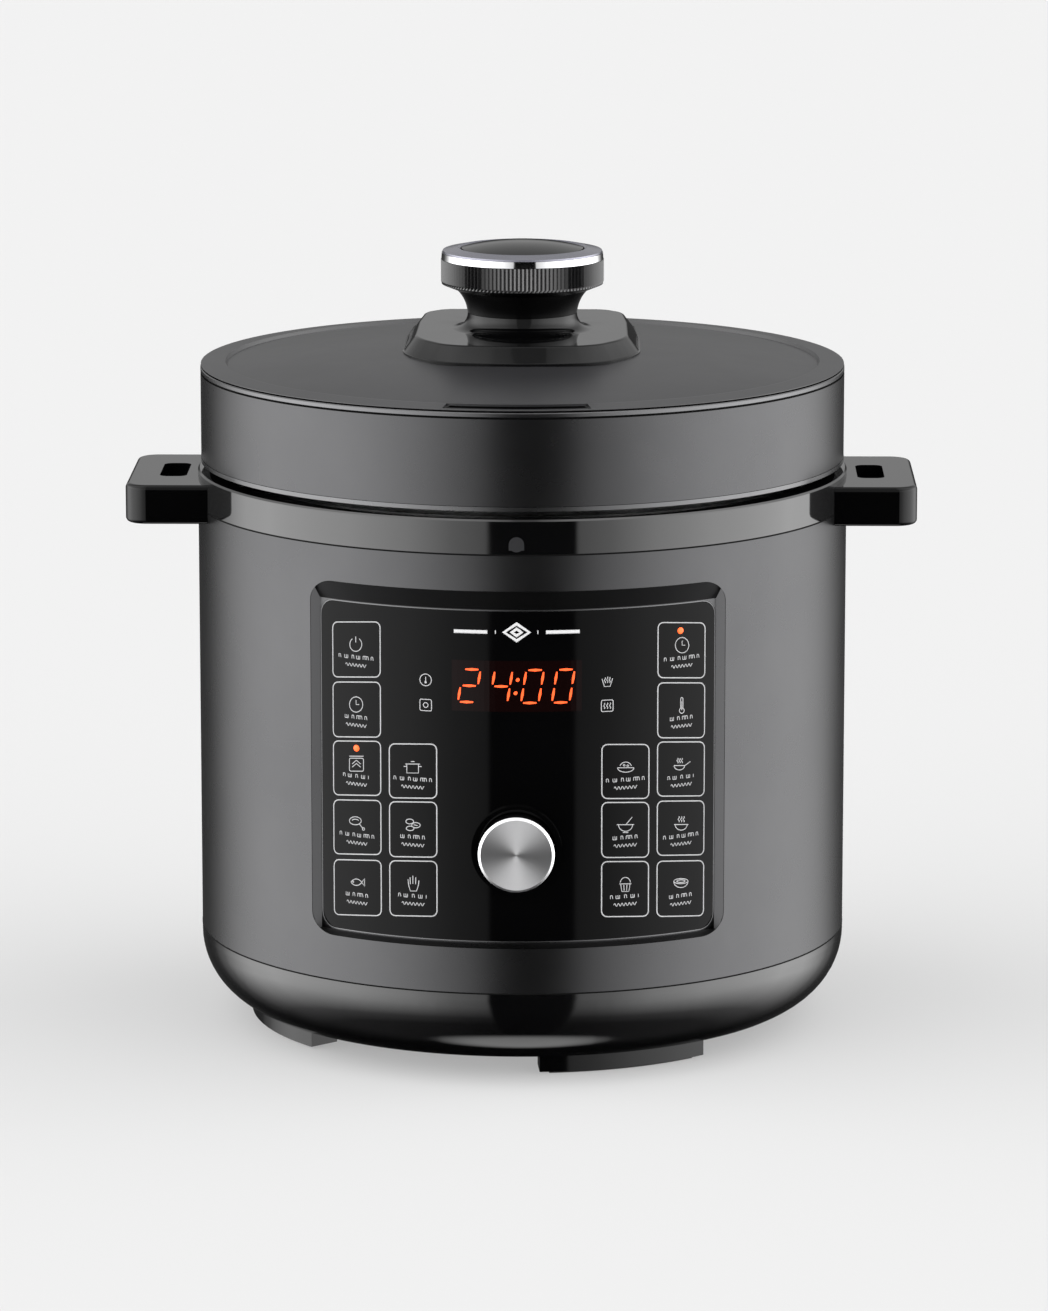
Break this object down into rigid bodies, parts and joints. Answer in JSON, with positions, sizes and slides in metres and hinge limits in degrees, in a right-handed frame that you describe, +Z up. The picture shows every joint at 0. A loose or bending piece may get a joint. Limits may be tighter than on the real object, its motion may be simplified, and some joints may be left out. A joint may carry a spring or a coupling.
{
  "type": "electric pressure cooker",
  "caption": "Round countertop pressure cooker with a curved touch panel and dial, lift-off bayonet lid with a steam-release knob, removable pot and side handles.",
  "frame": {"origin": "on the worktop under the centre of the body", "axes": "+Z up, front (control panel) towards -Y, +X to the right as seen from the front"},
  "size_m": [0.3624, 0.3194, 0.3621],
  "materials": {
    "gloss_black": "moulded black plastic, high gloss",
    "rubber": "matt black rubber",
    "zinc_steel": "zinc plated",
    "plated_steel": "pressed and plated",
    "bare_aluminium": "rolled",
    "cast_aluminium": "cast and turned",
    "white_plastic": "moulded",
    "board_green": "printed circuit board",
    "satin_black": "fine moulded texture",
    "gunmetal": "satin gunmetal lacquer on steel",
    "panel_gloss": "smoked gloss fascia, printed from behind",
    "film": "flexible printed film",
    "amber_lens": "small lamps",
    "display_red": "numeric display",
    "mark_grey": "inlaid mark",
    "spun_aluminium": "spun face with a bright chamfer",
    "smoked_plastic": "smoked",
    "pot_coating": "dark non-stick coating on aluminium",
    "silicone": "silicone",
    "polished_steel": "polished stainless steel",
    "trim_metal": "satin dark metal",
    "lid_matte": "fine matt texture",
    "knurled_black": "fine upright ribs",
    "chrome": "mirror",
    "crown_satin": "satin"
  },
  "bodies": {
    "housing": {"base_housing": "gloss_black", "feet": "gloss_black", "foot_pads": "rubber", "housing_screws": "zinc_steel", "pressure_frame": "plated_steel", "heat_reflector": "bare_aluminium", "heating_plate": "cast_aluminium", "heating_element": "plated_steel", "sensor_bracket": "plated_steel", "sensor_spring": "zinc_steel", "thermal_fuse": "white_plastic", "pressure_switch": "white_plastic", "power_board": "board_green", "power_inlet": "satin_black", "outer_shell": "gunmetal", "panel_bezel": "gunmetal", "control_panel": "panel_gloss", "touch_film": "film", "indicator_leds": "amber_lens", "display_module": "display_red", "control_board": "board_green", "dial_encoder": "plated_steel", "dial_bezel": "gloss_black", "handle_ring": "gloss_black", "handle_left": "gloss_black", "handle_right": "gloss_black", "lock_mark": "mark_grey", "collector_bracket": "satin_black"},
    "sensor": {"temperature_sensor": "bare_aluminium"},
    "dial": {"dial_shaft": "plated_steel", "dial_knob": "gloss_black", "dial_cap": "spun_aluminium"},
    "collector": {"condensation_cup": "smoked_plastic"},
    "pot": {"inner_pot": "pot_coating"},
    "seal": {"sealing_ring": "silicone"},
    "lid": {"inner_lid": "polished_steel", "seal_rack": "polished_steel", "lid_screws": "zinc_steel", "steam_pipe": "polished_steel", "steam_filter": "polished_steel", "lever_pin": "zinc_steel", "lever_bracket": "plated_steel", "lid_liner": "satin_black", "lid_trim_ring": "trim_metal", "lid_side_band": "gunmetal", "lid_edge_ring": "trim_metal", "lid_top_cover": "lid_matte", "rim_pocket": "gloss_black", "knob_base": "gloss_black", "knob_body": "gloss_black", "knob_grip": "knurled_black", "knob_chrome_ring": "chrome", "knob_crown": "crown_satin", "button_spring": "zinc_steel"},
    "button": {"release_button": "gloss_black", "push_rod": "zinc_steel"},
    "lever": {"release_lever": "plated_steel"},
    "weight": {"release_weight": "polished_steel"},
    "float": {"float_valve": "polished_steel", "float_gasket": "silicone"}
  },
  "joints": [
    {"name": "pot_lift", "type": "slide", "parent": "housing", "child": "pot", "axis": [0, 0, 1], "range_m": [0, 0.25]},
    {"name": "lid_lift", "type": "slide", "parent": "pot", "child": "seal", "axis": [0, 0, 1], "range_m": [0, 0.2]},
    {"name": "lid_twist", "type": "hinge", "parent": "seal", "child": "lid", "pos_m": [0, 0, 0.26], "axis": [0, 0, 1], "range_deg": [-30, 0]},
    {"name": "button_press", "type": "slide", "parent": "lid", "child": "button", "axis": [0, 0, -1], "range_m": [0, 0.004], "stiffness_N_per_m": 300, "springref_m": -0.004, "deforming": ["button_spring"]},
    {"name": "lever_rock", "type": "hinge", "parent": "lid", "child": "lever", "pos_m": [0, 0.02, 0.29825], "axis": [1, 0, 0], "range_deg": [0, 11.6]},
    {"name": "weight_rise", "type": "slide", "parent": "lid", "child": "weight", "axis": [0, 0, 1], "range_m": [0, 0.0037]},
    {"name": "float_rise", "type": "slide", "parent": "lid", "child": "float", "axis": [0, 0, 1], "range_m": [0, 0.0044]},
    {"name": "dial_turn", "type": "hinge", "parent": "housing", "child": "dial", "pos_m": [0, -0.15, 0.1085], "axis": [0, -1, 0], "continuous": true},
    {"name": "cup_pull", "type": "slide", "parent": "housing", "child": "collector", "axis": [0, 1, 0], "range_m": [0, 0.06]},
    {"name": "sensor_plunge", "type": "slide", "parent": "housing", "child": "sensor", "axis": [0, 0, 1], "range_m": [-0.002, 0], "stiffness_N_per_m": 400, "springref_m": 0.003, "deforming": ["sensor_spring"]}
  ],
  "couplings": [
    {"joint": "lever_rock", "follows": "button_press", "rad_per_m": 50},
    {"joint": "weight_rise", "follows": "button_press", "ratio": 0.9}
  ]
}
